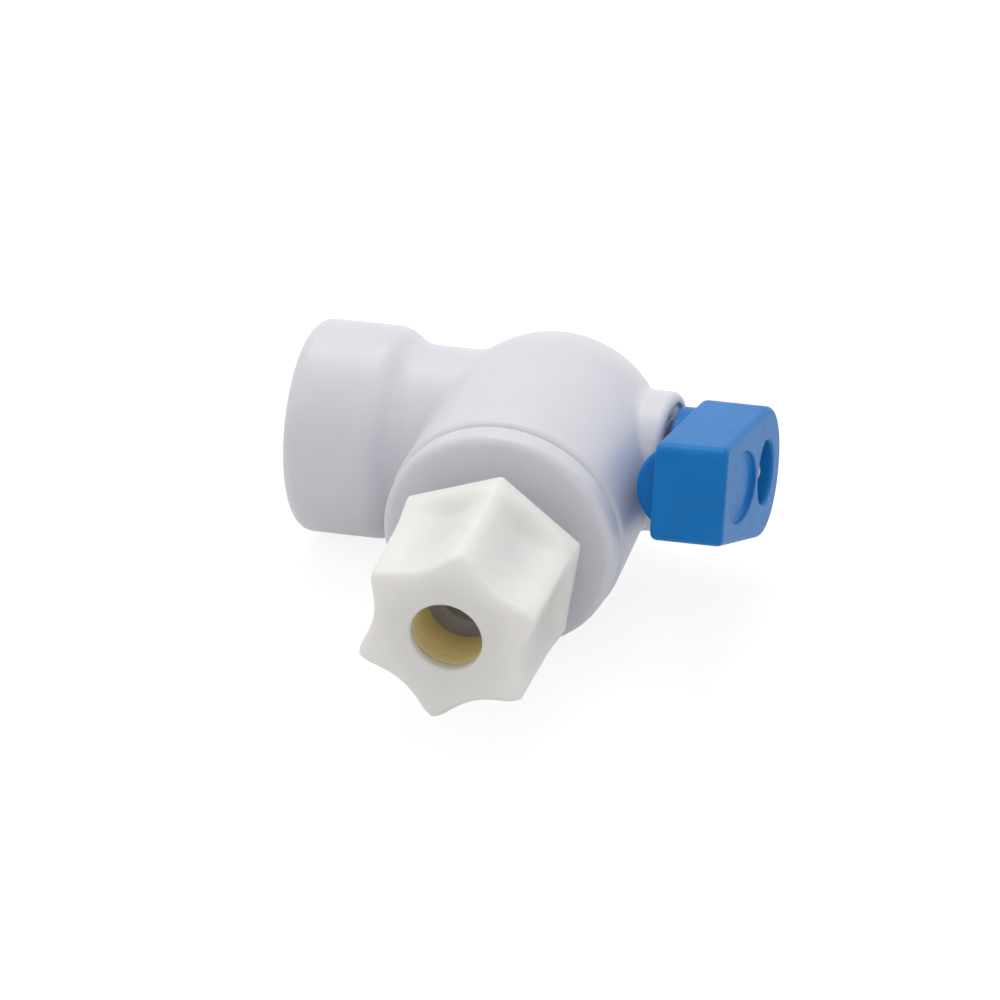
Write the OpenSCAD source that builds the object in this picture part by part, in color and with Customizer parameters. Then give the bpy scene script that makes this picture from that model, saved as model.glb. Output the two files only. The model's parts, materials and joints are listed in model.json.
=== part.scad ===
// Shut-off valve elbow for a water tank: a threaded tank port, a quarter-turn ball with an
// L-shaped waterway, a blue lever, and a compression outlet for a plastic tube.
// Millimetres. The origin is the centre of the tank port's mouth. +X runs along the port
// and the stem to the lever, -Y points out of the outlet, and +Z is up.

/* [Tank port] */
// Outer diameter of the port cup
port_d = 19.8; // [17.5:0.1:22]
// Length of the cup's straight wall
port_l = 8.3; // [6:0.1:12]
// Rounding of the cup's outer edge at the mouth
port_edge = 1.3; // [0.4:0.1:2]
// Length of the shoulder that leads down to the neck
shoulder_l = 2; // [1:0.1:4]
// Inner diameter of the threaded bore
port_bore_d = 11.5; // [9:0.1:13]
// Depth of the threaded bore
port_thread_l = 11; // [7:0.1:12]

/* [Neck and chamber] */
// Outer diameter of the neck
neck_d = 16.9; // [15:0.1:18]
// Bare length of the neck between the chamber's wall and the shoulder
neck_l = 1.9; // [1:0.05:6]
// Diameter of the waterway through the body and the end cap
way_d = 5.2; // [3:0.1:6]
// Gap between the ball and the chamber's bore
chamber_gap = 1.2; // [0.8:0.05:1.6]
// Wall between the chamber's bore and the outside
body_wall = 3.5; // [3:0.05:5]
// Distance of the dome's centre behind the ball
dome_shift = 0.3; // [0:0.1:3]
// How much the body's radius grows from the dome to its front edge
body_flare = 0.25; // [0:0.05:0.5]
// Rounding of the body's front edge
front_edge = 0.9; // [0.5:0.05:1.1]

/* [Ball and seats] */
// Diameter of the ball
ball_d = 12; // [11:0.1:13]
// Gap between the ball and each seat
ball_fit = 0.06; // [0.03:0.01:0.1]
// Thickness of a seat behind the ball
seat_t = 1.7; // [1.2:0.05:3]
// Depth of a seat's cup around the ball
seat_cup = 1.8; // [1:0.05:2.4]
// Gap around a seat in the chamber
seat_fit = 0.05; // [0.02:0.01:0.1]
// Width of the drive slot in the ball
slot_w = 2; // [1.6:0.05:2.6]
// Depth of the drive slot in the ball
slot_depth = 1.5; // [1:0.05:2]
// Gap on each side of the stem's tang in the slot
slot_fit = 0.05; // [0.02:0.01:0.1]

/* [Stem] */
// Diameter of the stem
stem_d = 5.8; // [5.4:0.05:6.2]
// Gap between the stem and its bore
stem_fit = 0.05; // [0.02:0.01:0.1]
// Diameter of the flange that keeps the stem in the body
flange_d = 7.6; // [7:0.05:8]
// Thickness of the flange
flange_t = 0.9; // [0.6:0.05:1.2]
// Gap between the ball and the flange
flange_gap = 0.35; // [0.2:0.05:0.6]
// Thickness of the thrust washer on the flange
washer_t = 0.4; // [0.3:0.05:0.6]
// Thickness of a stem seal ring
stem_seal_t = 1; // [0.8:0.05:1.1]
// Distance between the two stem seal rings
stem_seal_pitch = 1.6; // [1.5:0.05:1.8]
// Width across the square drive
square_w = 4; // [3.6:0.05:4.1]
// Gap around the square drive in the lever
square_fit = 0.04; // [0.02:0.01:0.08]

/* [Stem collar] */
// Outer diameter of the collar on the body
collar_d = 12.9; // [12.4:0.1:14]
// Height of the collar above the chamber's wall
collar_rise = 0.95; // [0.8:0.05:3]
// Rounding of the collar's outer edge
collar_edge = 0.7; // [0.2:0.05:0.7]
// Outer diameter of the groove for the stop
groove_d = 10.9; // [10.6:0.1:11.4]
// Depth of the groove for the stop
groove_depth = 2; // [1.6:0.05:2.4]
// Diameter of the boss around the stem
boss_d = 8.2; // [7.8:0.05:8.4]
// Width of the stop tab, as an angle
tab_angle = 24; // [14:1:40]
// Free play at each end of the quarter turn, as an angle
stop_play = 1; // [0.5:0.1:3]

/* [Lever] */
// Turn of the lever up from the outlet's direction
lever_turn = 20.7; // [0:0.1:90]
// Length from the stem's axis to the free end
lever_l = 17.1; // [15.5:0.1:24]
// Diameter of the round end about the stem
lever_root_d = 12; // [10.8:0.1:12.6]
// Width of the free end
lever_end_w = 8.6; // [7.5:0.1:10]
// Thickness along the stem
lever_t = 6.5; // [6.2:0.05:8]
// Slope of the free end's face
end_draft = 4.6; // [0:0.1:8]
// Diameter of the hub under the lever
hub_d = 10.4; // [10.2:0.05:10.8]
// Length of the hub
hub_l = 1.75; // [1.5:0.05:4]
// Gap between the collar and the hub
hub_gap = 0.4; // [0.3:0.05:1]
// Diameter of the screw's well
well_d = 5.9; // [5.2:0.05:7]
// Depth of the screw's well
well_depth = 2.3; // [1.9:0.05:2.6]
// Length of the oval hollow on the outer face
oval_l = 11; // [8:0.1:12]
// Width of the oval hollow
oval_w = 6.4; // [4:0.1:7]
// Depth of the oval hollow
oval_depth = 0.5; // [0.2:0.05:0.6]
// Distance from the stem's axis to the oval hollow's centre
oval_x = 9.6; // [9.3:0.1:11]
// Radius of the keel under the lever
keel_r = 4; // [3:0.1:4.2]
// How far the keel stands down from the lever
keel_drop = 2.2; // [0.5:0.05:2.2]
// Distance from the stem's axis to the keel's near end
keel_near = 7.4; // [7.2:0.1:9]
// Distance from the stem's axis to the keel's far end
keel_far = 14; // [11:0.1:15]

/* [Lever screw] */
// Diameter of the screw
screw_d = 2.6; // [2:0.05:2.8]
// Length of the screw under its head
screw_l = 5.3; // [3:0.1:6]
// Diameter of the screw's head
head_d = 4.8; // [4:0.05:5.1]
// Height of the screw's head
head_h = 1.7; // [1.4:0.05:1.9]
// Gap around the screw
screw_fit = 0.03; // [0.01:0.01:0.08]

/* [End cap] */
// How far the disc's rim stands in from the body's front edge
disc_inset = 0.25; // [0:0.05:0.6]
// Thickness of the disc
disc_t = 2.4; // [1.5:0.05:4]
// Rounding of the disc's front edge
disc_edge = 0.85; // [0.2:0.05:1]
// Height of the thread that holds the cap above the cap's plain nose
cap_step = 1.45; // [1.25:0.05:1.6]
// Length of the thread that holds the cap
cap_thread_l = 5.8; // [4:0.1:8]
// Length of the cap's plain nose
cap_nose_l = 2; // [1.7:0.05:4]
// Thickness of the cap's seal ring
cap_seal_t = 1.1; // [0.8:0.05:1.2]
// Gap around the cap in the body
cap_fit = 0.05; // [0.02:0.01:0.1]
// Diameter of the outlet's thread
outlet_d = 10.4; // [10:0.05:11]
// Length of the outlet in front of the disc
outlet_l = 10.6; // [10:0.1:12.5]
// Outer diameter of the plastic tube that the outlet takes
tube_d = 6.35; // [6:0.05:6.5]
// Gap around the tube
tube_fit = 0.075; // [0.05:0.005:0.1]
// Depth of the tube's socket in the outlet
socket_l = 8; // [5:0.1:9]

/* [Nut] */
// Gap between the disc and the nut as the valve is shown
nut_gap = 3.2; // [2.8:0.1:5]
// Length of the nut
nut_l = 13.3; // [12.8:0.1:15]
// Width of the nut across its flats
nut_af = 16; // [15.4:0.1:18]
// Diameter over the lobes at the nut's front
lobe_d = 17.5; // [16.8:0.1:18.2]
// Turn of the nut about the outlet
nut_turn = 19.3; // [0:0.1:60]
// Radius of a flute
flute_r = 5.7; // [4:0.1:6.4]
// Depth of a flute below the flat
flute_depth = 1.28; // [0.4:0.02:1.3]
// Length of the plain hexagon behind the flutes
hex_l = 1.6; // [0.8:0.1:4]
// Thickness of the nut's front wall
front_wall = 1.3; // [1:0.1:2]
// Gap between the nut and the outlet's thread
thread_fit = 0.05; // [0.03:0.01:0.1]
// How far the nut can still be tightened
tighten = 2.5; // [0.5:0.1:2.7]

/* [Sleeve and gripper] */
// Diameter of the sleeve and the gripper
sleeve_d = 9.4; // [8.8:0.05:9.8]
// Wall of the sleeve at its tip
tip_wall = 0.45; // [0.3:0.05:0.8]
// Length of the sleeve's cone
cone_l = 2.7; // [1.5:0.1:3]
// Length of the sleeve's straight rim
rim_l = 0.5; // [0.3:0.05:1]
// Thickness of the gripper
gripper_t = 1.3; // [0.8:0.05:1.5]
// Width of the gripper's slit
slit_w = 0.6; // [0.3:0.05:1.2]
// Gap around the sleeve and the gripper
sleeve_fit = 0.05; // [0.02:0.01:0.1]

/* [Hidden] */
$fn = 96;

// A cut runs this far past the face that it opens
past = 0.5;
// Gap around a seal ring in its groove
seal_slack = 0.02;
// Gap between the stop tab and the sides and floor of its groove
tab_side = 0.15;
tab_floor = 0.35;
// How far the boss and the stop end below the collar's face
boss_sink = 0.25;
stop_sink = 0.45;
// Gap past the screw's point and around its head's hole
screw_room = 0.2;
// Wall between the stem's square drive and the lever's well
well_web = 0.8;
// Number of flats and flutes on the nut
flats = 6;

// Radii that grow outward from the ball
ball_r = ball_d / 2;
chamber_r = ball_r + chamber_gap;
body_r = chamber_r + body_wall;
front_r = body_r + body_flare;
disc_r = front_r - disc_inset;
chamber_back = ball_r;
stem_bore_r = stem_d / 2 + stem_fit;
tube_bore_r = tube_d / 2 + tube_fit;
cap_nose_r = chamber_r - cap_fit;
cap_thread_r = cap_nose_r + cap_step;

// Distances along the port and the stem, from the ball's centre
neck_end = body_r + neck_l;
shoulder_end = neck_end + shoulder_l;
port_reach = shoulder_end + port_l;
flange_in = ball_r + flange_gap;
flange_out = flange_in + flange_t;
pocket_x = flange_out + washer_t + stem_fit;
collar_out = body_r + collar_rise;
boss_out = collar_out - boss_sink;
groove_in = collar_out - groove_depth;
stop_out = collar_out - stop_sink;
hub_in = collar_out + hub_gap;
lever_in = hub_in + hub_l;
lever_out = lever_in + lever_t;
well_in = lever_out - well_depth;
stem_end = well_in - well_web - tab_side;
stem_shoulder = hub_in - tab_side;
seal_room = boss_out - pocket_x;

// Distances out along the outlet, from the ball's centre
seat_back = ball_r + seat_t;
cap_shoulder = seat_back + cap_nose_l;
body_front = cap_shoulder + cap_thread_l;
disc_front = body_front + disc_t;
outlet_end = disc_front + outlet_l;
nut_back = disc_front + nut_gap;
nut_front = nut_back + nut_l;
pocket_end = nut_front - front_wall;
gripper_in = pocket_end - sleeve_fit - gripper_t;
rim_out = gripper_in - sleeve_fit;
rim_in = rim_out - rim_l;
tip = rim_in - cone_l;
bore_end = max(outlet_end + tighten + 0.1, rim_in);

// The sleeve's cone and the outlet's mouth share one slope and meet when the nut is tight
tip_r = tube_bore_r + tip_wall;
cone_slope = (sleeve_d / 2 - 0.15 - tip_r) / cone_l;
mouth_depth = outlet_end - (tip - tighten);
mouth_r = tip_r + sleeve_fit + mouth_depth * cone_slope;

// The nut's flutes: cutter's distance, and how far its round end runs out along the flat
flute_x = nut_af / 2 - flute_depth + flute_r;
flute_run = sqrt(flute_r * flute_r - pow(flute_r - flute_depth, 2));

// Frame along the port: local +Z points from the ball to the lever
module along_port() {
  translate([port_reach, 0, 0]) rotate([0, 90, 0]) children();
}

// Frame that turns with the lever: local +X runs along the lever, +Z away from the ball
module on_stem() {
  along_port() rotate([0, 0, -90 - lever_turn]) children();
}

// Frame along the outlet: local +Z points out of it, local +Y is up
module along_outlet() {
  translate([port_reach, 0, 0]) rotate([90, 0, 0]) children();
}

// Tube between two heights
module pipe(outer_r, inner_r, from, to) {
  translate([0, 0, from]) difference() {
    cylinder(r = outer_r, h = to - from);
    translate([0, 0, -past]) cylinder(r = inner_r, h = to - from + 2 * past);
  }
}

// Disc or rod with one rounded edge, at its far end
module rounded_rod(r, from, to, edge) {
  translate([0, 0, from]) cylinder(r = r, h = to - from - edge);
  translate([0, 0, from]) cylinder(r = r - edge, h = to - from);
  translate([0, 0, to - edge]) rotate_extrude() {
    intersection() {
      translate([r - edge, 0]) circle(r = edge, $fn = 48);
      translate([r - edge, 0]) square(edge);
    }
  }
}

// Ring of round section
module seal_ring(inner_r, thick, at) {
  translate([0, 0, at]) rotate_extrude() {
    translate([inner_r + thick / 2, 0]) circle(d = thick, $fn = 32);
  }
}

// Outside of the body: cup, shoulder, neck, chamber, dome and collar
module body_outside() {
  rim_at = body_front - front_edge - past;
  along_port() mirror([0, 0, 1]) {
    rounded_rod(port_d / 2, shoulder_end, port_reach, port_edge);
    translate([0, 0, neck_end]) cylinder(r1 = neck_d / 2, r2 = port_d / 2, h = shoulder_l);
    cylinder(r = neck_d / 2, h = neck_end + past);
  }
  along_outlet() {
    translate([0, 0, -dome_shift]) cylinder(r1 = body_r, r2 = front_r, h = rim_at + dome_shift);
    rounded_rod(front_r, rim_at, body_front, front_edge);
    translate([0, 0, -dome_shift]) sphere(r = body_r);
  }
  along_port() rounded_rod(collar_d / 2, 0, collar_out, collar_edge);
}

// Hollows of the body, with the groove that holds the stop
module body_hollows() {
  along_port() mirror([0, 0, 1]) {
    cylinder(d = way_d, h = port_reach);
    translate([0, 0, port_reach - port_thread_l]) cylinder(d = port_bore_d, h = port_thread_l + past);
  }
  along_outlet() {
    translate([0, 0, -chamber_back]) cylinder(r = chamber_r, h = chamber_back + body_front);
    translate([0, 0, cap_shoulder - cap_seal_t]) {
      cylinder(r = cap_thread_r + cap_fit, h = body_front - cap_shoulder + cap_seal_t + past);
    }
  }
  along_port() {
    cylinder(r = stem_bore_r, h = collar_out + past);
    cylinder(r = flange_d / 2 + stem_fit, h = pocket_x);
    translate([0, 0, boss_out]) cylinder(r = boss_d / 2 + past, h = collar_out);
    pipe(groove_d / 2, boss_d / 2, groove_in, collar_out + past);
  }
}

// Sector of the groove that stays filled and stops the lever's tab
module stop_sector() {
  free = 90 + tab_angle + 2 * stop_play;
  along_port() rotate([0, 0, 90 + tab_angle / 2 + stop_play]) translate([0, 0, groove_in - past]) {
    rotate_extrude(angle = 360 - free) {
      translate([boss_d / 2 - past, 0]) square([groove_d / 2 - boss_d / 2 + 2 * past, stop_out - groove_in + past]);
    }
  }
}

module valve_body() {
  color([0.90, 0.91, 0.96]) {
    difference() {
      body_outside();
      body_hollows();
    }
    stop_sector();
  }
}

// Disc, threaded spigot, nose and threaded outlet with the tube's socket
module end_cap() {
  color([0.90, 0.91, 0.96]) along_outlet() difference() {
    union() {
      translate([0, 0, seat_back]) cylinder(r = cap_nose_r, h = cap_nose_l + past);
      translate([0, 0, cap_shoulder]) cylinder(r = cap_thread_r, h = cap_thread_l);
      rounded_rod(disc_r, body_front, disc_front, disc_edge);
      translate([0, 0, disc_front - past]) cylinder(d = outlet_d, h = outlet_l + past);
    }
    translate([0, 0, seat_back - past]) cylinder(d = way_d, h = outlet_end);
    translate([0, 0, outlet_end - socket_l]) cylinder(r = tube_bore_r, h = socket_l + past);
    translate([0, 0, outlet_end - mouth_depth]) {
      cylinder(r1 = tip_r + sleeve_fit, r2 = mouth_r, h = mouth_depth);
    }
  }
}

module cap_seal_ring() {
  color([0.10, 0.10, 0.11]) along_outlet() {
    seal_ring(cap_nose_r + seal_slack, cap_seal_t - 2 * seal_slack, cap_shoulder - cap_seal_t / 2);
  }
}

// Ring with a round cup for the ball, from near the ball's widest part to its back face
module seat(back) {
  difference() {
    pipe(chamber_r - seat_fit, way_d / 2, ball_r - seat_cup, back);
    sphere(r = ball_r + ball_fit);
  }
}

module outlet_seat() {
  color([0.97, 0.97, 0.95]) along_outlet() seat(seat_back - seat_fit);
}

module rear_seat() {
  color([0.97, 0.97, 0.95]) along_outlet() mirror([0, 0, 1]) seat(chamber_back - seat_fit);
}

// Ball with one way along the stem's axis and one towards the lever's side
module ball() {
  color([0.93, 0.93, 0.95]) on_stem() difference() {
    sphere(r = ball_r);
    sphere(d = way_d);
    mirror([0, 0, 1]) cylinder(d = way_d, h = ball_d);
    rotate([0, 90, 0]) cylinder(d = way_d, h = ball_d);
    translate([-slot_w / 2, -ball_d, ball_r - slot_depth]) cube([slot_w, 2 * ball_d, ball_d]);
  }
}

// Height of a stem seal's middle: 0 for the inner one, 1 for the outer one
function stem_seal_at(i) = pocket_x + seal_room / 2 + (i - 0.5) * stem_seal_pitch;

// Inner radius of a stem seal
stem_seal_r = stem_bore_r - seal_slack - stem_seal_t;

module stem() {
  tang_in = ball_r - slot_depth + slot_fit;
  tang_t = slot_w - 2 * slot_fit;
  color([0.93, 0.93, 0.95]) on_stem() difference() {
    union() {
      intersection() {
        translate([-tang_t / 2, -ball_d / 2, tang_in]) cube([tang_t, ball_d, flange_in - tang_in + past]);
        cylinder(d = stem_d, h = flange_out);
      }
      translate([0, 0, flange_in]) cylinder(d = flange_d, h = flange_t);
      translate([0, 0, flange_in]) cylinder(d = stem_d, h = stem_shoulder - flange_in);
      translate([-square_w / 2, -square_w / 2, stem_shoulder - past]) {
        cube([square_w, square_w, stem_end - stem_shoulder + past]);
      }
    }
    for (i = [0, 1]) {
      translate([0, 0, stem_seal_at(i) - stem_seal_t / 2 - seal_slack]) {
        pipe(stem_d, stem_seal_r - seal_slack, 0, stem_seal_t + 2 * seal_slack);
      }
    }
    translate([0, 0, well_in - screw_l - screw_room]) cylinder(r = screw_d / 2 + screw_fit, h = screw_l);
  }
}

module thrust_washer() {
  color([0.97, 0.97, 0.95]) on_stem() {
    pipe(flange_d / 2, stem_d / 2 + stem_fit / 2, flange_out, flange_out + washer_t);
  }
}

module stem_seal(i) {
  color([0.10, 0.10, 0.11]) on_stem() seal_ring(stem_seal_r, stem_seal_t, stem_seal_at(i));
}

module inner_stem_seal() {
  stem_seal(0);
}

module outer_stem_seal() {
  stem_seal(1);
}

// Outline of the lever across the stem: round about the stem, tapered to a square free end
module lever_outline() {
  root_r = lever_root_d / 2;
  corner = [lever_l, lever_end_w / 2];
  touch = atan2(corner.y, corner.x) + acos(root_r / norm(corner));
  side = [root_r * cos(touch), root_r * sin(touch)];
  circle(r = root_r);
  polygon([[side.x, side.y], corner, [corner.x, -corner.y], [side.x, -side.y]]);
}

// Oval drawn as a polygon of short sides
module oval(length, width) {
  polygon([for (a = [0:10:350]) [length / 2 * cos(a), width / 2 * sin(a)]]);
}

module lever_solid() {
  translate([0, 0, lever_in]) linear_extrude(lever_t) lever_outline();
  translate([0, 0, hub_in]) cylinder(d = hub_d, h = hub_l + past);
  translate([keel_near, 0, lever_in - keel_drop + keel_r]) rotate([0, 90, 0]) {
    cylinder(r = keel_r, h = keel_far - keel_near);
  }
}

// Tab on the hub that runs in the collar's groove, behind the stem
module stop_tab() {
  in_r = boss_d / 2 + tab_side;
  out_r = min(groove_d, hub_d) / 2 - tab_side;
  rotate([0, 0, 180 - tab_angle / 2]) translate([0, 0, groove_in + tab_floor]) {
    rotate_extrude(angle = tab_angle) {
      translate([in_r, 0]) square([out_r - in_r, hub_in - groove_in]);
    }
  }
}

module lever() {
  socket_w = square_w + 2 * square_fit;
  color([0.05, 0.40, 0.78]) on_stem() difference() {
    union() {
      lever_solid();
      stop_tab();
    }
    translate([lever_l, -lever_end_w, lever_in]) rotate([0, -end_draft, 0]) translate([0, 0, -lever_t]) {
      cube([lever_t, 2 * lever_end_w, 3 * lever_t]);
    }
    translate([-socket_w / 2, -socket_w / 2, hub_in - past]) {
      cube([socket_w, socket_w, well_in - well_web - hub_in + past]);
    }
    cylinder(r = screw_d / 2 + screw_room, h = lever_out);
    translate([0, 0, well_in]) cylinder(d = well_d, h = well_depth + past);
    translate([oval_x, 0, lever_out - oval_depth]) linear_extrude(oval_depth + past) oval(oval_l, oval_w);
  }
}

// Pan-head screw with a cross recess
module lever_screw() {
  crown_r = 0.68 * head_d;
  recess_w = 0.8;
  point_l = 1;
  color([0.80, 0.80, 0.82]) on_stem() translate([0, 0, well_in]) difference() {
    union() {
      intersection() {
        cylinder(d = head_d, h = head_h);
        translate([0, 0, head_h - crown_r]) sphere(r = crown_r);
      }
      translate([0, 0, point_l - screw_l]) cylinder(d = screw_d, h = screw_l - point_l + head_h / 2);
      translate([0, 0, -screw_l]) cylinder(d1 = screw_d / 3, d2 = screw_d, h = point_l);
    }
    for (turn = [0, 90]) {
      rotate([0, 0, turn + 35]) translate([-head_d * 0.3, -recess_w / 2, head_h * 0.45]) {
        cube([head_d * 0.6, recess_w, head_h]);
      }
    }
  }
}

// Nut: plain hexagon at the back, six lobes between round flutes in front
module compression_nut() {
  corner_r = nut_af / 2 / cos(180 / flats);
  color([0.93, 0.90, 0.82]) along_outlet() difference() {
    intersection() {
      rotate([0, 0, nut_turn]) translate([0, 0, nut_back]) cylinder(r = corner_r, h = nut_l, $fn = flats);
      translate([0, 0, nut_back]) cylinder(r1 = corner_r + 0.1, d2 = lobe_d, h = nut_l);
    }
    for (i = [0:flats - 1]) {
      rotate([0, 0, nut_turn + (i + 0.5) * 360 / flats]) {
        translate([flute_x, 0, nut_back + hex_l + flute_run]) {
          cylinder(r = flute_r, h = nut_l);
          sphere(r = flute_r);
        }
      }
    }
    translate([0, 0, nut_back - past]) cylinder(r = outlet_d / 2 + thread_fit, h = bore_end - nut_back + past);
    translate([0, 0, nut_back]) cylinder(r = sleeve_d / 2 + sleeve_fit, h = pocket_end - nut_back);
    cylinder(r = tube_bore_r, h = nut_front + past);
  }
}

// Sleeve with a conical tip that the nut presses into the outlet's mouth
module tube_sleeve() {
  color([0.93, 0.88, 0.70]) along_outlet() difference() {
    union() {
      translate([0, 0, tip]) cylinder(r1 = tip_r, r2 = tip_r + cone_l * cone_slope, h = cone_l);
      translate([0, 0, rim_in]) cylinder(d = sleeve_d, h = rim_l);
    }
    cylinder(r = tube_bore_r, h = nut_front);
  }
}

// Split ring that bites on the tube
module tube_gripper() {
  color([0.93, 0.88, 0.70]) along_outlet() difference() {
    pipe(sleeve_d / 2, tube_bore_r, gripper_in, gripper_in + gripper_t);
    translate([0, -slit_w / 2, gripper_in - past]) cube([sleeve_d, slit_w, gripper_t + 2 * past]);
  }
}

valve_body();
end_cap();
cap_seal_ring();
outlet_seat();
rear_seat();
ball();
stem();
thrust_washer();
inner_stem_seal();
outer_stem_seal();
lever();
lever_screw();
compression_nut();
tube_sleeve();
tube_gripper();
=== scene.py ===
"""Looks of the tank shut-off valve elbow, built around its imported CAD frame.

Lengths here are in millimetres. Meshes turn into metres when they are made.
"""
import json
import math

import bpy
import numpy as np
from mathutils import Matrix, Vector

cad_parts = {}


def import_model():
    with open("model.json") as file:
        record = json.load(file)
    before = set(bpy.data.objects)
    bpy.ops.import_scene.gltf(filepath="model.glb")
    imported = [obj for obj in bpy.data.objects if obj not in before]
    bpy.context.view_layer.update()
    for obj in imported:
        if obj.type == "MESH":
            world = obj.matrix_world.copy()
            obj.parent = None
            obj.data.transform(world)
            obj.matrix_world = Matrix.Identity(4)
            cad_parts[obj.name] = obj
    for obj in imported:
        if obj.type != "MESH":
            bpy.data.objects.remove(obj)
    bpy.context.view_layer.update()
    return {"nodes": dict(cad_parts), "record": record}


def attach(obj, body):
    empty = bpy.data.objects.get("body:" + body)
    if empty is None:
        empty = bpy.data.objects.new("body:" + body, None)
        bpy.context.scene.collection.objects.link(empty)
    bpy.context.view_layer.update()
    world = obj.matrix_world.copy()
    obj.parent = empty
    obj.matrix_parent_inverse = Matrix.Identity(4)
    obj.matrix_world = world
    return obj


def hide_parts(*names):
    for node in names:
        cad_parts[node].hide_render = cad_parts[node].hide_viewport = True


MM = 0.001

# Sizes that repeat the part's source
BALL_X = 22.9
CUP_R, CUP_EDGE, SHOULDER_L = 9.9, 1.3, 2.0
PORT_BORE_R, PORT_THREAD_L = 5.75, 11.0
NECK_R, NECK_L = 8.45, 1.9
WAY_R = 2.6
BODY_R, FRONT_R, DOME_SHIFT, FRONT_EDGE = 10.7, 10.95, 0.3, 0.9
CHAMBER_R, CHAMBER_BACK, BODY_FRONT = 7.2, 6.0, 15.5
CAP_ROOM_R, CAP_ROOM_IN = 8.65, 8.6
COLLAR_R, COLLAR_OUT, COLLAR_EDGE = 6.45, 11.65, 0.7
GROOVE_R, BOSS_R, GROOVE_IN, BOSS_OUT, STOP_OUT = 5.45, 4.1, 9.65, 11.4, 11.2
STEM_BORE_R, POCKET_R, POCKET_OUT = 2.95, 3.85, 7.7
STOP_FREE, STOP_FROM = 116.0, 103.0
NOSE_IN, NOSE_R, SPIGOT_IN, SPIGOT_R = 7.7, 7.15, 9.7, 8.6
DISC_R, DISC_EDGE, DISC_FRONT = 10.7, 0.85, 17.9
OUTLET_R, OUTLET_END, SOCKET_L, TUBE_BORE_R = 5.2, 28.5, 8.0, 3.25
MOUTH_DEPTH, MOUTH_IN_R, MOUTH_R = 2.5, 3.75, 4.579
NUT_BACK, NUT_FRONT, NUT_FLAT, NUT_TURN = 21.1, 34.4, 8.0, 19.3
LOBE_R, LOBE_ROUND, FLUTE_R, FLUTE_DEPTH, HEX_L = 8.75, 1.35, 5.7, 1.28, 1.6
FLUTE_NOSE = 1.9  # how many times steeper than a ball's the flutes' ends are
NUT_BORE_R, NUT_BORE_END, POCKET_END, SLEEVE_ROOM_R = 5.25, 31.2, 33.1, 4.75
LEVER_IN, LEVER_OUT, HUB_IN, HUB_R = 13.8, 20.3, 12.05, 5.2
LEVER_TURN, LEVER_ROOT_R, LEVER_L, LEVER_END, END_DRAFT = 20.7, 6.0, 17.1, 4.3, 4.6
KEEL_R, KEEL_N, KEEL_NEAR, KEEL_FAR = 4.0, 15.6, 7.4, 14.0
WELL_R, WELL_IN, WEB_IN, SQUARE, HOLE_R = 2.95, 18.0, 17.2, 2.04, 1.5
OVAL_L, OVAL_W, OVAL_AT, OVAL_DEPTH = 5.5, 3.2, 9.6, 0.5
TAB_IN, TAB_R0, TAB_R1, TAB_HALF = 10.0, 4.25, 5.05, 12.0
HEAD_R, HEAD_H, CROWN_R, SCREW_R, SCREW_L = 2.4, 1.7, 3.264, 1.3, 5.3

# Threads: the outlet's and nut's, the port's, the screw's
PITCH, NUT_THREAD_DEPTH = 1.25, 0.7
PORT_PITCH, PORT_THREAD_DEPTH = 1.41, 0.75
SCREW_PITCH, SCREW_THREAD_DEPTH = 0.7, 0.26

# Edge roundings and fillets
SHOULDER_EDGE, SHOULDER_FILLET, CHAMBER_FILLET = 0.5, 0.6, 0.45
COLLAR_FILLET, MOUTH_EDGE = 0.4, 0.35
NUT_FRONT_EDGE, NUT_BACK_EDGE, NUT_HOLE_EDGE = 0.75, 0.25, 0.3
LEVER_CORNER, LEVER_IN_EDGE, LEVER_OUT_EDGE = 0.9, 0.55, 0.6
KEEL_EDGE, KEEL_FILLET, HUB_FILLET, WELL_EDGE = 0.5, 0.5, 0.2, 0.35
OVAL_EDGE, OVAL_FILLET = 0.2, 0.25

# The screw's cross recess: half width, half length, floor's depth and turn
RECESS_HALF_W, RECESS_HALF_L, RECESS_FLOOR, RECESS_TURN = 0.4, 1.44, 0.77, 35.0

TURN = 2 * math.pi


# Distance fields. Each returns the signed distance in millimetres, below zero inside.
def join(a, b, r=0.0):
    """Both shapes, with a fillet of radius r where they meet."""
    if not r:
        return np.minimum(a, b)
    return np.maximum(r, np.minimum(a, b)) - np.hypot(np.maximum(r - a, 0), np.maximum(r - b, 0))


def meet(a, b, r=0.0):
    """What two shapes share, with its edge rounded by r."""
    if np.isscalar(r) and not r:
        return np.maximum(a, b)
    return np.minimum(-r, np.maximum(a, b)) + np.hypot(np.maximum(r + a, 0), np.maximum(r + b, 0))


def cut(a, b, r=0.0):
    """Shape a without shape b, with the edge rounded by r."""
    return meet(a, -b, r)


def slab(t, low, high):
    """Between two parallel planes."""
    return np.maximum(low - t, t - high)


def ramp(t, start, end):
    """0 before start, 1 after end, smooth between."""
    s = np.clip((t - start) / (end - start), 0, 1)
    return s * s * (3 - 2 * s)


def thread_cut(rho, axial, angle, minor, depth, pitch, low, high):
    """A screw thread's groove outside a bore: V flanks with flat root and crest."""
    phase = (axial / pitch - angle / TURN) % 1.0
    wave = np.clip(1.25 - 3.0 * np.abs(phase - 0.5), 0, 1)
    fade = ramp(axial, low, low + 0.6 * pitch) * (1 - ramp(axial, high - 0.6 * pitch, high))
    return (rho - minor - depth * wave * fade) * 0.72


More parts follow.
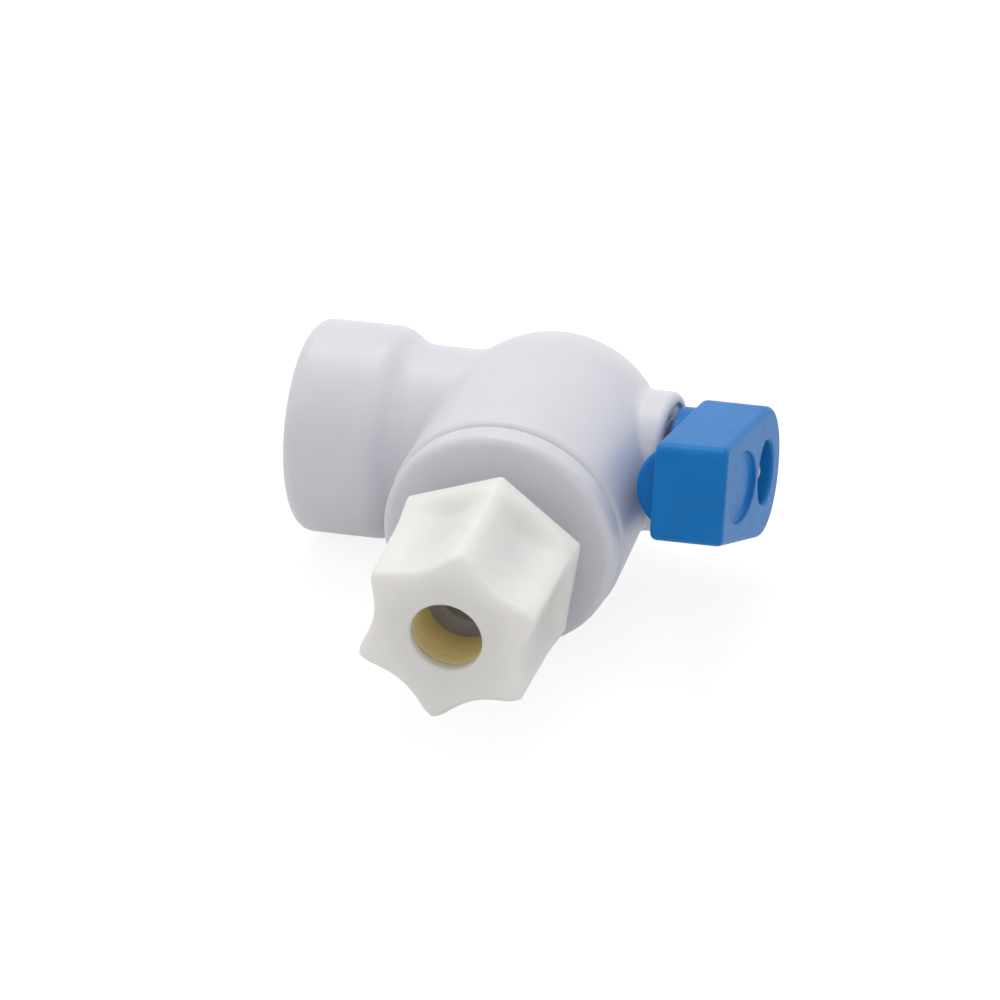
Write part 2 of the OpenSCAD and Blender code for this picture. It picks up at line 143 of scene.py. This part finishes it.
class Field:
    """A shape given by its distance field, in a frame of its own."""

    def __init__(self, distance, origin, axes, low, high, step):
        self.distance = distance
        self.origin = np.array(origin, float)
        self.axes = np.array(axes, float)
        self.low = np.array(low, float)
        self.high = np.array(high, float)
        self.step = step

    def at(self, points):
        return self.distance(points[:, 0], points[:, 1], points[:, 2])

    def gradient(self, points, eps=0.02):
        out = np.empty_like(points)
        for k in range(3):
            shift = np.zeros(3)
            shift[k] = eps
            out[:, k] = self.at(points + shift) - self.at(points - shift)
        return out / (2 * eps)

    def to_part(self, points):
        return points @ self.axes + self.origin


def sample(field):
    """Distances on a regular grid, a slice of it at a time."""
    counts = np.ceil((field.high - field.low) / field.step).astype(int) + 1
    xs, ys, zs = (field.low[k] + field.step * np.arange(counts[k]) for k in range(3))
    values = np.empty(counts)
    for i in range(0, counts[0], 16):
        x, y, z = np.meshgrid(xs[i:i + 16], ys, zs, indexing="ij")
        values[i:i + 16] = field.distance(x.ravel(), y.ravel(), z.ravel()).reshape(x.shape)
    return values


def surface(field):
    """Surface nets: one point in each cell that the surface crosses, one quad across each crossed edge."""
    values = sample(field)
    inside = values < 0
    counts = np.array(values.shape)
    cells = counts - 1
    total = np.zeros(tuple(cells) + (3,))
    hits = np.zeros(tuple(cells))
    for axis in range(3):
        lower = [slice(None)] * 3
        upper = [slice(None)] * 3
        lower[axis], upper[axis] = slice(0, -1), slice(1, None)
        a, b = values[tuple(lower)], values[tuple(upper)]
        crossed = inside[tuple(lower)] != inside[tuple(upper)]
        share = np.where(crossed, a / np.where(crossed, a - b, 1), 0)
        others = [k for k in range(3) if k != axis]
        for du in (0, 1):
            for dv in (0, 1):
                pick = [slice(None)] * 3
                pick[others[0]] = slice(du, du + cells[others[0]])
                pick[others[1]] = slice(dv, dv + cells[others[1]])
                here, part = crossed[tuple(pick)], share[tuple(pick)]
                total[..., axis] += np.where(here, part, 0)
                total[..., others[0]] += np.where(here, du, 0)
                total[..., others[1]] += np.where(here, dv, 0)
                hits += here
    used = hits > 0
    index = np.full(tuple(cells), -1)
    index[used] = np.arange(used.sum())
    corner = np.argwhere(used)
    points = field.low + field.step * (corner + total[used] / hits[used][:, None])
    quads = []
    for axis in range(3):
        u, v = [(1, 2), (2, 0), (0, 1)][axis]
        lower = [slice(1, -1)] * 3
        lower[axis] = slice(0, -1)
        upper = [slice(1, -1)] * 3
        upper[axis] = slice(1, None)
        start, end = inside[tuple(lower)], inside[tuple(upper)]
        where = np.argwhere(start != end)
        if not len(where):
            continue
        outward = start[tuple(where.T)]
        base = where.copy()
        base[:, u] += 1
        base[:, v] += 1
        ring = []
        for du, dv in ((-1, -1), (0, -1), (0, 0), (-1, 0)):
            cell = base.copy()
            cell[:, u] += du
            cell[:, v] += dv
            ring.append(index[tuple(cell.T)])
        ring = np.stack(ring, 1)
        quads.append(np.where(outward[:, None], ring, ring[:, ::-1]))
    return settle(field, points), np.concatenate(quads)


def settle(field, points, rounds=4):
    """Moves the points onto the surface, at most a cell away from where they started."""
    start = points.copy()
    for _ in range(rounds):
        grad = field.gradient(points)
        size = np.maximum((grad ** 2).sum(1), 0.05)
        points = points - grad * (field.at(points) / size)[:, None]
        move = points - start
        far = np.maximum(np.abs(move).max(1) / (0.75 * field.step), 1)
        points = start + move / far[:, None]
    return points


def make_object(name, vertices, faces, normals=None):
    """A mesh object from part-frame points in millimetres."""
    mesh = bpy.data.meshes.new(name)
    vertices = np.asarray(vertices, np.float32) * MM
    faces = np.asarray(faces, np.int32)
    sides = faces.shape[1]
    mesh.vertices.add(len(vertices))
    mesh.vertices.foreach_set("co", vertices.ravel())
    mesh.loops.add(faces.size)
    mesh.loops.foreach_set("vertex_index", faces.ravel())
    mesh.polygons.add(len(faces))
    mesh.polygons.foreach_set("loop_start", np.arange(0, faces.size, sides, dtype=np.int32))
    mesh.polygons.foreach_set("use_smooth", np.ones(len(faces), bool))
    mesh.update()
    mesh.validate()
    if normals is not None:
        mesh.normals_split_custom_set_from_vertices(normals.tolist())
    obj = bpy.data.objects.new(name, mesh)
    bpy.context.scene.collection.objects.link(obj)
    return obj


def grown(name, field):
    """The mesh of a distance field, shaded by the field's own gradient."""
    points, quads = surface(field)
    grad = field.gradient(points)
    grad /= np.maximum(np.linalg.norm(grad, axis=1), 1e-9)[:, None]
    return make_object(name, field.to_part(points), quads, grad @ field.axes)


# Frames: rows are the local axes in the part's frame
BALL = (BALL_X, 0, 0)
PORT_AXES = ((1, 0, 0), (0, -1, 0), (0, 0, -1))
_turn = math.radians(LEVER_TURN)
LEVER_AXES = (
    (0, -math.cos(_turn), math.sin(_turn)),
    (0, -math.sin(_turn), -math.cos(_turn)),
    (1, 0, 0),
)
OUTLET_AXES = ((1, 0, 0), (0, 0, 1), (0, -1, 0))


def body_distance(u, out, down):
    """Valve body. u runs from the ball to the lever, out runs out of the outlet."""
    port = -u
    across = np.hypot(u, down)
    rho = np.hypot(out, down)
    taper = (FRONT_R - BODY_R) / (BODY_FRONT - FRONT_EDGE + DOME_SHIFT)
    wall = across - BODY_R - taper * (out + DOME_SHIFT)
    barrel = meet(wall, out - BODY_FRONT, FRONT_EDGE)
    dome = np.sqrt(across ** 2 + (out + DOME_SHIFT) ** 2) - BODY_R
    chamber = np.where(out < -DOME_SHIFT, dome, barrel)
    neck_end = BODY_R + NECK_L
    slope = (CUP_R - NECK_R) / SHOULDER_L
    cone = (rho - NECK_R - slope * (port - neck_end)) / math.hypot(1, slope)
    cup = meet(rho - CUP_R, cone, SHOULDER_EDGE)
    cup = meet(cup, port - BALL_X, CUP_EDGE)
    neck = meet(rho - NECK_R, slab(port, 0, neck_end + 1.5))
    shape = join(cup, neck, SHOULDER_FILLET)
    shape = join(shape, chamber, CHAMBER_FILLET)
    collar = meet(rho - COLLAR_R, u - COLLAR_OUT, COLLAR_EDGE)
    collar = meet(collar, -u)
    shape = join(shape, collar, COLLAR_FILLET)
    angle = np.arctan2(down, out)
    bore_end = BALL_X - PORT_THREAD_L
    bore = thread_cut(
        rho, port, angle, PORT_BORE_R, PORT_THREAD_DEPTH, PORT_PITCH, bore_end + 1, BALL_X + 2)
    shape = cut(shape, meet(bore, bore_end - port), MOUTH_EDGE)
    shape = cut(shape, meet(rho - WAY_R, -port))
    shape = cut(shape, meet(across - CHAMBER_R, -CHAMBER_BACK - out))
    shape = cut(shape, meet(across - CAP_ROOM_R, CAP_ROOM_IN - out))
    shape = cut(shape, meet(rho - STEM_BORE_R, -u))
    shape = cut(shape, meet(rho - POCKET_R, slab(u, 0, POCKET_OUT)))
    shape = cut(shape, meet(rho - BOSS_R - 0.5, BOSS_OUT - u))
    middle, half = (GROOVE_R + BOSS_R) / 2, (GROOVE_R - BOSS_R) / 2
    shape = cut(shape, meet(np.abs(rho - middle) - half, GROOVE_IN - u), 0.1)
    return join(shape, stop_distance(u, out, down, rho))


def stop_distance(u, out, down, rho):
    """The filled sector of the groove that the lever's tab meets at each end."""
    local_x, local_y = down, -out
    middle = math.radians(STOP_FROM + (360 - STOP_FREE) / 2)
    half = math.radians((360 - STOP_FREE) / 2)
    side = np.abs((np.arctan2(local_y, local_x) - middle + math.pi) % TURN - math.pi) - half
    ring = slab(rho, BOSS_R - 0.4, GROOVE_R + 0.4)
    return meet(meet(ring, side * rho), slab(u, GROOVE_IN - 0.4, STOP_OUT))


def nut_distance(u, up, out):
    """Compression nut: a plain hexagon behind, six rounded lobes in front."""
    rho = np.hypot(u, up)
    angle = np.arctan2(up, u)
    sector = TURN / 6
    folded = np.abs((angle - math.radians(NUT_TURN) + sector / 2) % sector - sector / 2)
    x, y = rho * np.cos(folded), rho * np.sin(folded)
    normal = (math.cos(sector / 2), math.sin(sector / 2))
    flat = x * normal[0] + y * normal[1] - NUT_FLAT
    corner = NUT_FLAT / normal[0]
    envelope = rho - LOBE_R - (corner + 0.1 - LOBE_R) * (NUT_FRONT - out) / (NUT_FRONT - NUT_BACK)
    shape = meet(flat, envelope, 0.3 + 0.7 * ramp(out, NUT_BACK, NUT_BACK + 4))
    centre = NUT_FLAT - FLUTE_DEPTH + FLUTE_R
    run = math.sqrt(FLUTE_R ** 2 - (FLUTE_R - FLUTE_DEPTH) ** 2) / FLUTE_NOSE
    full = NUT_BACK + HEX_L + run
    ahead = FLUTE_NOSE * np.minimum(out - full, 0)
    flute = np.sqrt((x - centre * normal[0]) ** 2 + (y - centre * normal[1]) ** 2 + ahead ** 2) - FLUTE_R
    rounding = 0.7 + (LOBE_ROUND - 0.7) * ramp(out, NUT_BACK + HEX_L, full + 2)
    shape = cut(shape, flute, rounding)
    shape = meet(shape, out - NUT_FRONT, NUT_FRONT_EDGE)
    shape = meet(shape, NUT_BACK - out, NUT_BACK_EDGE)
    bore = thread_cut(
        rho, out, angle, NUT_BORE_R, NUT_THREAD_DEPTH, PITCH, NUT_BACK - 1, NUT_BORE_END - 1.5)
    bore = meet(bore, out - NUT_BORE_END)
    bore = join(bore, meet(rho - SLEEVE_ROOM_R, out - POCKET_END))
    shape = cut(shape, bore, 0.15)
    return cut(shape, rho - TUBE_BORE_R, NUT_HOLE_EDGE)


def lever_distance(along, side, out):
    """Lever: tapered arm, hub, keel below, screw's well and oval hollow outside."""
    width = np.abs(side)
    rho = np.hypot(along, side)
    length = math.hypot(LEVER_L, LEVER_END)
    touch = math.atan2(LEVER_END, LEVER_L) + math.acos(LEVER_ROOT_R / length)
    nx, ny = math.cos(touch), math.sin(touch)
    flank = along * nx + width * ny - LEVER_ROOT_R
    before = width * nx - along * ny > 0
    arm = np.where(before, rho - LEVER_ROOT_R, flank)
    draft = math.tan(math.radians(END_DRAFT))
    end = (along - LEVER_L + (out - LEVER_IN) * draft) * math.cos(math.radians(END_DRAFT))
    arm = meet(arm, end, LEVER_CORNER)
    arm = meet(arm, LEVER_IN - out, LEVER_IN_EDGE)
    arm = meet(arm, out - LEVER_OUT, LEVER_OUT_EDGE)
    keel = np.hypot(side, out - KEEL_N) - KEEL_R
    keel = meet(keel, slab(along, KEEL_NEAR, KEEL_FAR), KEEL_EDGE)
    shape = join(arm, keel, KEEL_FILLET)
    hub = meet(rho - HUB_R, slab(out, HUB_IN, LEVER_IN + 1), 0.15)
    shape = join(shape, hub, HUB_FILLET)
    tab_angle = np.abs(np.arctan2(side, -along)) - math.radians(TAB_HALF)
    tab = meet(meet(slab(rho, TAB_R0, TAB_R1), tab_angle * rho), slab(out, TAB_IN, HUB_IN + 0.3))
    shape = join(shape, tab)
    shape = cut(shape, meet(rho - WELL_R, WELL_IN - out, 0.2), WELL_EDGE)
    square = np.maximum(np.abs(along), np.abs(side)) - SQUARE
    shape = cut(shape, meet(square, out - WEB_IN))
    shape = cut(shape, rho - HOLE_R)
    k0 = np.hypot((along - OVAL_AT) / OVAL_L, side / OVAL_W)
    k1 = np.hypot((along - OVAL_AT) / OVAL_L ** 2, side / OVAL_W ** 2)
    oval = k0 * (k0 - 1) / np.maximum(k1, 1e-3)
    hollow = meet(oval, LEVER_OUT - OVAL_DEPTH - out, OVAL_FILLET)
    return cut(shape, hollow, OVAL_EDGE)


def screw_distance(along, side, out):
    """Pan-head screw with a cross recess and a threaded shank."""
    rho = np.hypot(along, side)
    height = out - WELL_IN
    crown = np.sqrt(rho ** 2 + (height - HEAD_H + CROWN_R) ** 2) - CROWN_R
    head = meet(meet(crown, -height, 0.1), rho - HEAD_R, 0.12)
    angle = np.arctan2(side, along)
    phase = (height / SCREW_PITCH - angle / TURN) % 1.0
    groove = SCREW_THREAD_DEPTH * np.clip(2.2 * np.abs(phase - 0.5) * 2 - 0.5, 0, 1)
    fade = ramp(-height, 0.5, 1.0)
    tip = (rho - 0.43 - 0.87 * (height + SCREW_L)) * 0.75
    shank = meet(meet((rho - SCREW_R + groove * fade) * 0.8, tip), slab(height, -SCREW_L, 0.5))
    shape = join(head, shank, 0.1)
    spin = math.radians(RECESS_TURN)
    x = np.abs(along * math.cos(spin) + side * math.sin(spin))
    y = np.abs(side * math.cos(spin) - along * math.sin(spin))
    deep = RECESS_FLOOR + 0.35 * rho
    arm_x = np.maximum(y - RECESS_HALF_W, x - RECESS_HALF_L)
    arm_y = np.maximum(x - RECESS_HALF_W, y - RECESS_HALF_L)
    arms = np.minimum(arm_x, arm_y)
    return cut(shape, meet(arms, deep - height, 0.1), 0.06)


# Turned pieces: a closed outline of (radius, distance) swept round the outlet
def arc(centre_r, centre_o, radius, start, end, count=8):
    """Points on a round edge, angles in degrees from the outward radius."""
    angles = np.radians(np.linspace(start, end, count))
    return [(centre_r + radius * math.cos(a), centre_o + radius * math.sin(a)) for a in angles]


def even(start, end, step):
    """Points on a straight stretch of an outline, both ends kept."""
    (r0, o0), (r1, o1) = start, end
    count = max(int(math.ceil(math.hypot(r1 - r0, o1 - o0) / step)), 1)
    return [(r0 + (r1 - r0) * i / count, o0 + (o1 - o0) * i / count) for i in range(count + 1)]


def swept(name, outline, sides=160, shift=None):
    """A closed solid of revolution about the outlet. shift moves radii, as for a thread."""
    outline = [p for i, p in enumerate(outline) if i == 0 or math.dist(p, outline[i - 1]) > 1e-4]
    profile = np.array(outline)
    angles = np.arange(sides) * TURN / sides
    radius = np.repeat(profile[:, :1], sides, 1)
    height = np.repeat(profile[:, 1:], sides, 1)
    if shift is not None:
        radius = radius + shift(radius, height, angles[None, :])
    x = BALL_X + radius * np.cos(angles)
    z = radius * np.sin(angles)
    points = np.stack([x, -height, z], -1).reshape(-1, 3)
    rows, columns = np.meshgrid(np.arange(len(profile)), np.arange(sides), indexing="ij")
    ahead, beside = (rows + 1) % len(profile), (columns + 1) % sides
    quads = np.stack([
        rows * sides + columns, rows * sides + beside,
        ahead * sides + beside, ahead * sides + columns,
    ], -1).reshape(-1, 4)
    obj = make_object(name, points, quads)
    obj.data.set_sharp_from_angle(angle=math.radians(32))
    return obj


def end_cap():
    """Disc with its rounded front edge, threaded spigot behind and threaded outlet in front."""
    disc_turn = DISC_FRONT - DISC_EDGE
    outline = []
    outline += even((WAY_R, NOSE_IN), (NOSE_R, NOSE_IN), 1)
    outline += even((NOSE_R, NOSE_IN), (NOSE_R, SPIGOT_IN), 1)
    outline += even((NOSE_R, SPIGOT_IN), (SPIGOT_R - 0.1, SPIGOT_IN), 1)
    outline += even((SPIGOT_R, SPIGOT_IN + 0.1), (SPIGOT_R, BODY_FRONT), 0.12)
    outline += even((SPIGOT_R, BODY_FRONT), (DISC_R - 0.12, BODY_FRONT), 1)
    outline += arc(DISC_R - 0.12, BODY_FRONT + 0.12, 0.12, -90, 0, 5)
    outline += arc(DISC_R - DISC_EDGE, disc_turn, DISC_EDGE, 0, 90, 14)
    outline += even((DISC_R - DISC_EDGE, DISC_FRONT), (OUTLET_R + 0.5, DISC_FRONT), 1)
    outline += arc(OUTLET_R + 0.4, DISC_FRONT + 0.4, 0.4, 270, 180, 6)
    outline += even((OUTLET_R, DISC_FRONT + 0.5), (OUTLET_R, OUTLET_END - 0.3), 0.08)
    outline += even((OUTLET_R - 0.3, OUTLET_END), (MOUTH_R, OUTLET_END), 1)
    outline += even((MOUTH_R, OUTLET_END), (MOUTH_IN_R, OUTLET_END - MOUTH_DEPTH), 1)
    outline += even((TUBE_BORE_R, OUTLET_END - MOUTH_DEPTH), (TUBE_BORE_R, OUTLET_END - SOCKET_L), 1)
    outline += even((WAY_R, OUTLET_END - SOCKET_L), (WAY_R, NOSE_IN), 2)

    def shift(radius, height, angle):
        phase = (height / PITCH - angle / TURN) % 1.0
        wave = np.clip(3.2 * np.abs(phase - 0.5) * 2 - 1.4, 0, 1)
        front = ramp(height, DISC_FRONT + 0.9, DISC_FRONT + 1.8)
        front = front * (np.abs(radius - OUTLET_R) < 1e-3)
        back = ramp(height, SPIGOT_IN + 0.3, SPIGOT_IN + 0.9)
        back = back * (1 - ramp(height, BODY_FRONT - 1, BODY_FRONT - 0.4))
        back = back * (np.abs(radius - SPIGOT_R) < 1e-3)
        return -0.62 * wave * front - 0.55 * wave * back

    return swept("end_cap_looks", outline, 176, shift)


def tube_sleeve():
    """Sleeve with a straight rim and a conical tip."""
    tip, rim_in, rim_out = 28.5, 31.2, 31.7
    tip_r, cone_r, rim_r = 3.7, 4.55, 4.7
    outline = []
    outline += arc(TUBE_BORE_R + 0.12, rim_out - 0.12, 0.12, 180, 90, 4)
    outline += arc(rim_r - 0.12, rim_out - 0.12, 0.12, 90, 0, 4)
    outline += even((rim_r, rim_out - 0.12), (rim_r, rim_in), 0.2)
    outline += even((cone_r, rim_in), (tip_r, tip), 0.25)
    outline += even((tip_r - 0.05, tip), (TUBE_BORE_R + 0.05, tip), 0.3)
    outline += even((TUBE_BORE_R, tip + 0.05), (TUBE_BORE_R, rim_out - 0.12), 0.3)
    return swept("tube_sleeve_looks", outline[::-1], 128)


# Materials
class Shader:
    """A node material around one Principled shader."""

    def __init__(self, name):
        self.material = bpy.data.materials.new(name)
        self.material.use_nodes = True
        self.tree = self.material.node_tree
        self.bsdf = self.tree.nodes["Principled BSDF"]

    def node(self, kind, **settings):
        made = self.tree.nodes.new(kind)
        for key, value in settings.items():
            setattr(made, key, value)
        return made

    def link(self, start, output, end, socket):
        self.tree.links.new(start.outputs[output], end.inputs[socket])

    def place(self):
        """Coordinates that stay with the piece, in millimetres."""
        coords = self.node("ShaderNodeTexCoord")
        scale = self.node("ShaderNodeVectorMath", operation="SCALE")
        scale.inputs["Scale"].default_value = 1 / MM
        self.link(coords, "Object", scale, 0)
        return scale

    def noise(self, at, scale, detail=3.0, rough=0.5, stretch=None):
        if stretch is not None:
            squeeze = self.node("ShaderNodeMapping")
            squeeze.inputs["Scale"].default_value = stretch
            self.link(at, 0, squeeze, "Vector")
            at = squeeze
        made = self.node("ShaderNodeTexNoise")
        made.inputs["Scale"].default_value = scale
        made.inputs["Detail"].default_value = detail
        made.inputs["Roughness"].default_value = rough
        self.link(at, 0, made, "Vector")
        return made

    def between(self, source, low, high, from_low=0.3, from_high=0.7):
        span = self.node("ShaderNodeMapRange")
        limits = {"From Min": from_low, "From Max": from_high, "To Min": low, "To Max": high}
        for socket, value in limits.items():
            span.inputs[socket].default_value = value
        self.link(source, 0, span, "Value")
        return span

    def colours(self, source, stops):
        table = self.node("ShaderNodeValToRGB")
        while len(table.color_ramp.elements) < len(stops):
            table.color_ramp.elements.new(0.5)
        for element, (place, colour) in zip(table.color_ramp.elements, stops):
            element.position = place
            element.color = (*colour, 1)
        self.link(source, 0, table, "Fac")
        self.link(table, "Color", self.bsdf, "Base Color")
        return table

    def bump(self, sources):
        """Adds up height maps, given as (node, height in millimetres)."""
        last = None
        for source, height in sources:
            made = self.node("ShaderNodeBump")
            made.inputs["Distance"].default_value = height * MM
            made.inputs["Strength"].default_value = 1.0
            self.link(source, 0, made, "Height")
            if last is not None:
                self.link(last, "Normal", made, "Normal")
            last = made
        self.link(last, "Normal", self.bsdf, "Normal")


def moulded(name, stops, rough, gloss, grain, wave, see_into=0.0, reach=(1, 1, 1), fine=14.0):
    """Moulded plastic: faint cloudy tint, fine grain and slow sink waves."""
    shader = Shader(name)
    shader.bsdf.inputs["Specular IOR Level"].default_value = gloss
    shader.bsdf.inputs["Subsurface Weight"].default_value = see_into
    shader.bsdf.inputs["Subsurface Radius"].default_value = reach
    shader.bsdf.inputs["Subsurface Scale"].default_value = MM
    at = shader.place()
    cloud = shader.noise(at, 0.22, 4.0, 0.55)
    shader.colours(cloud, stops)
    scuff = shader.noise(at, 1.6, 5.0, 0.65)
    shader.link(shader.between(scuff, *rough), 0, shader.bsdf, "Roughness")
    shader.bump([
        (shader.noise(at, fine, 2.0, 0.5), grain),
        (shader.noise(at, 0.35, 1.0, 0.4), wave),
    ])
    return shader


def make_materials():
    white = ((0.30, (0.705, 0.705, 0.76)), (0.70, (0.73, 0.727, 0.77)))
    ivory = ((0.30, (0.86, 0.835, 0.785)), (0.70, (0.90, 0.875, 0.83)))
    blue = ((0.30, (0.0, 0.165, 0.50)), (0.70, (0.001, 0.19, 0.56)))
    cream = ((0.30, (0.95, 0.77, 0.36)), (0.70, (0.98, 0.82, 0.44)))
    made = {}
    made["white_plastic"] = moulded(
        "glossy_white_plastic", white, (0.36, 0.44), 0.4, 0.0006, 0.03, 0.15, (1.2, 1.0, 0.9))
    made["ivory_plastic"] = moulded(
        "milky_ivory_plastic", ivory, (0.42, 0.50), 0.35, 0.0008, 0.03, 0.7, (3.2, 3.0, 2.8))
    made["blue_plastic"] = moulded(
        "satin_blue_plastic", blue, (0.40, 0.50), 0.22, 0.0008, 0.02)
    made["cream_plastic"] = moulded(
        "cream_plastic", cream, (0.38, 0.5), 0.35, 0.0008, 0.02, 0.3, (1.8, 1.7, 1.4))
    made["ball_plastic"] = moulded(
        "polished_white_plastic", ((0.3, (0.74, 0.75, 0.78)), (0.7, (0.77, 0.78, 0.80))),
        (0.15, 0.22), 0.5, 0.001, 0.01, 0.05)
    made["seat_plastic"] = moulded(
        "waxy_seat_plastic", ((0.3, (0.82, 0.82, 0.79)), (0.7, (0.86, 0.86, 0.84))),
        (0.4, 0.5), 0.4, 0.002, 0.01, 0.3, (1, 1, 0.9))
    made["seal_rubber"] = moulded(
        "black_seal_rubber", ((0.3, (0.018, 0.018, 0.02)), (0.7, (0.03, 0.03, 0.032))),
        (0.55, 0.75), 0.4, 0.006, 0.01)
    made["bright_metal"] = bright_metal()
    return {slot: shader.material for slot, shader in made.items()}


def bright_metal():
    """Plated steel with fine turning marks and small dulled patches."""
    shader = Shader("plated_screw_metal")
    shader.bsdf.inputs["Metallic"].default_value = 1.0
    at = shader.place()
    cloud = shader.noise(at, 1.4, 4.0, 0.6)
    shader.colours(cloud, ((0.3, (0.62, 0.62, 0.64)), (0.7, (0.74, 0.74, 0.75))))
    shader.link(shader.between(shader.noise(at, 4.0, 4.0, 0.6), 0.14, 0.28), 0, shader.bsdf, "Roughness")
    shader.bump([(shader.noise(at, 9.0, 3.0, 0.5, (1, 1, 6)), 0.006)])
    return shader


# Stage: the rest pose tips the part slightly towards its port, so the floor is tipped instead
FLOOR_UP = (0.0376, -0.0175, 1.0)
FLOOR_AT = (BALL_X, 0.0, -10.7125)
FLOOR_HALF = 2000.0


def make_floor():
    up = Vector(FLOOR_UP).normalized()
    side = up.cross(Vector((0, 1, 0))).normalized()
    ahead = up.cross(side)
    centre = Vector(FLOOR_AT)
    corners = [centre + FLOOR_HALF * (side * a + ahead * b) for a, b in ((-1, -1), (1, -1), (1, 1), (-1, 1))]
    floor = make_object("floor", corners, [(3, 2, 1, 0)])
    if floor.data.polygons[0].normal.z < 0:
        floor.data.flip_normals()
    material = bpy.data.materials.new("pale_floor")
    material.use_nodes = True
    tree = material.node_tree
    tree.nodes.clear()
    output = tree.nodes.new("ShaderNodeOutputMaterial")
    plain = tree.nodes.new("ShaderNodeBsdfDiffuse")
    plain.inputs["Color"].default_value = (0.80, 0.80, 0.81, 1)
    soft = tree.nodes.new("ShaderNodeBsdfDiffuse")
    soft.inputs["Color"].default_value = (0.26, 0.26, 0.26, 1)
    glow = tree.nodes.new("ShaderNodeEmission")
    glow.inputs["Strength"].default_value = 0.84
    add = tree.nodes.new("ShaderNodeAddShader")
    mix = tree.nodes.new("ShaderNodeMixShader")
    tree.links.new(soft.outputs[0], add.inputs[0])
    tree.links.new(glow.outputs[0], add.inputs[1])
    tree.links.new(seen_directly(tree), mix.inputs[0])
    tree.links.new(plain.outputs[0], mix.inputs[1])
    tree.links.new(add.outputs[0], mix.inputs[2])
    tree.links.new(mix.outputs[0], output.inputs["Surface"])
    floor.data.materials.append(material)
    return floor


def seen_directly(tree):
    """1 for the camera and what mirrors or lets through its view, else 0."""
    path = tree.nodes.new("ShaderNodeLightPath")
    last = path.outputs["Is Camera Ray"]
    for name in ("Is Glossy Ray", "Is Transmission Ray"):
        most = tree.nodes.new("ShaderNodeMath")
        most.operation = "MAXIMUM"
        tree.links.new(last, most.inputs[0])
        tree.links.new(path.outputs[name], most.inputs[1])
        last = most.outputs[0]
    return last


def make_world(light=0.70):
    world = bpy.data.worlds.new("studio")
    bpy.context.scene.world = world
    world.use_nodes = True
    tree = world.node_tree
    shade = tree.nodes["Background"]
    shade.inputs["Color"].default_value = (1, 1, 1, 1)
    strength = tree.nodes.new("ShaderNodeMapRange")
    strength.inputs["To Min"].default_value = light
    strength.inputs["To Max"].default_value = 1.0
    tree.links.new(seen_directly(tree), strength.inputs["Value"])
    tree.links.new(strength.outputs[0], shade.inputs["Strength"])


def make_lamp(name, place, power, size, colour=(1, 1, 1)):
    """A square soft lamp, its place in millimetres, aimed at the part."""
    data = bpy.data.lights.new(name, "AREA")
    data.energy = power
    data.size = size * MM
    data.color = colour
    lamp = bpy.data.objects.new(name, data)
    bpy.context.scene.collection.objects.link(lamp)
    target = Vector((BALL_X, -8, 0)) * MM
    lamp.location = Vector(place) * MM
    lamp.rotation_euler = (target - lamp.location).to_track_quat("-Z", "Y").to_euler()
    return lamp


# Camera: fitted to the photograph with the part's axes, as its sideways, up and back directions
CAMERA_RIGHT = (0.9619, 0.27141, -0.03292)
CAMERA_BACK = (0.25168, -0.83198, 0.49444)
CAMERA_AIM = (18.9706, -3.5054, -3.8985)
CAMERA_DISTANCE = 492.03
CAMERA_LENS = 193.07


def make_camera():
    data = bpy.data.cameras.new("photo_camera")
    data.sensor_width = 36
    data.lens = CAMERA_LENS
    data.clip_start = 0.01
    camera = bpy.data.objects.new("photo_camera", data)
    bpy.context.scene.collection.objects.link(camera)
    back = Vector(CAMERA_BACK).normalized()
    up = back.cross(Vector(CAMERA_RIGHT)).normalized()
    right = up.cross(back)
    matrix = Matrix((right, up, back)).transposed().to_4x4()
    matrix.translation = (Vector(CAMERA_AIM) + back * CAMERA_DISTANCE) * MM
    camera.matrix_world = matrix
    bpy.context.scene.camera = camera


# The pieces that stand for a CAD node: its shape, body and material slot
def grown_pieces():
    body = Field(body_distance, BALL, PORT_AXES, (-23.3, -11.5, -11.4), (12.1, 16.0, 11.4), 0.26)
    nut = Field(nut_distance, BALL, OUTLET_AXES, (-9.7, -9.7, 20.7), (9.7, 9.7, 34.8), 0.17)
    lever = Field(lever_distance, BALL, LEVER_AXES, (-6.4, -6.4, 9.7), (17.6, 6.4, 20.7), 0.15)
    screw = Field(screw_distance, BALL, LEVER_AXES, (-2.7, -2.7, 12.4), (2.7, 2.7, 20.0), 0.08)
    return {
        "valve_body": (grown("valve_body_looks", body), "valve", "white_plastic"),
        "compression_nut": (grown("compression_nut_looks", nut), "nut", "ivory_plastic"),
        "lever": (grown("lever_looks", lever), "lever_group", "blue_plastic"),
        "lever_screw": (grown("lever_screw_looks", screw), "lever_group", "bright_metal"),
    }


def turned_pieces():
    return {
        "end_cap": (end_cap(), "valve", "white_plastic"),
        "tube_sleeve": (tube_sleeve(), "sleeve_group", "cream_plastic"),
    }


def main():
    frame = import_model()
    slots = {row["node"]: row["material_slot"] for row in frame["record"]["subparts"]}
    materials = make_materials()
    for node, (piece, body, slot) in {**grown_pieces(), **turned_pieces()}.items():
        piece.data.materials.append(materials[slot])
        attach(piece, body)
        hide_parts(node)
    for node, piece in frame["nodes"].items():
        piece.data.materials.clear()
        piece.data.materials.append(materials[slots[node]])
    make_floor()
    make_world()
    make_lamp("key", (-40, 230, 520), 1.15, 300)
    make_camera()
    bpy.context.scene.view_settings.view_transform = "Standard"


main()
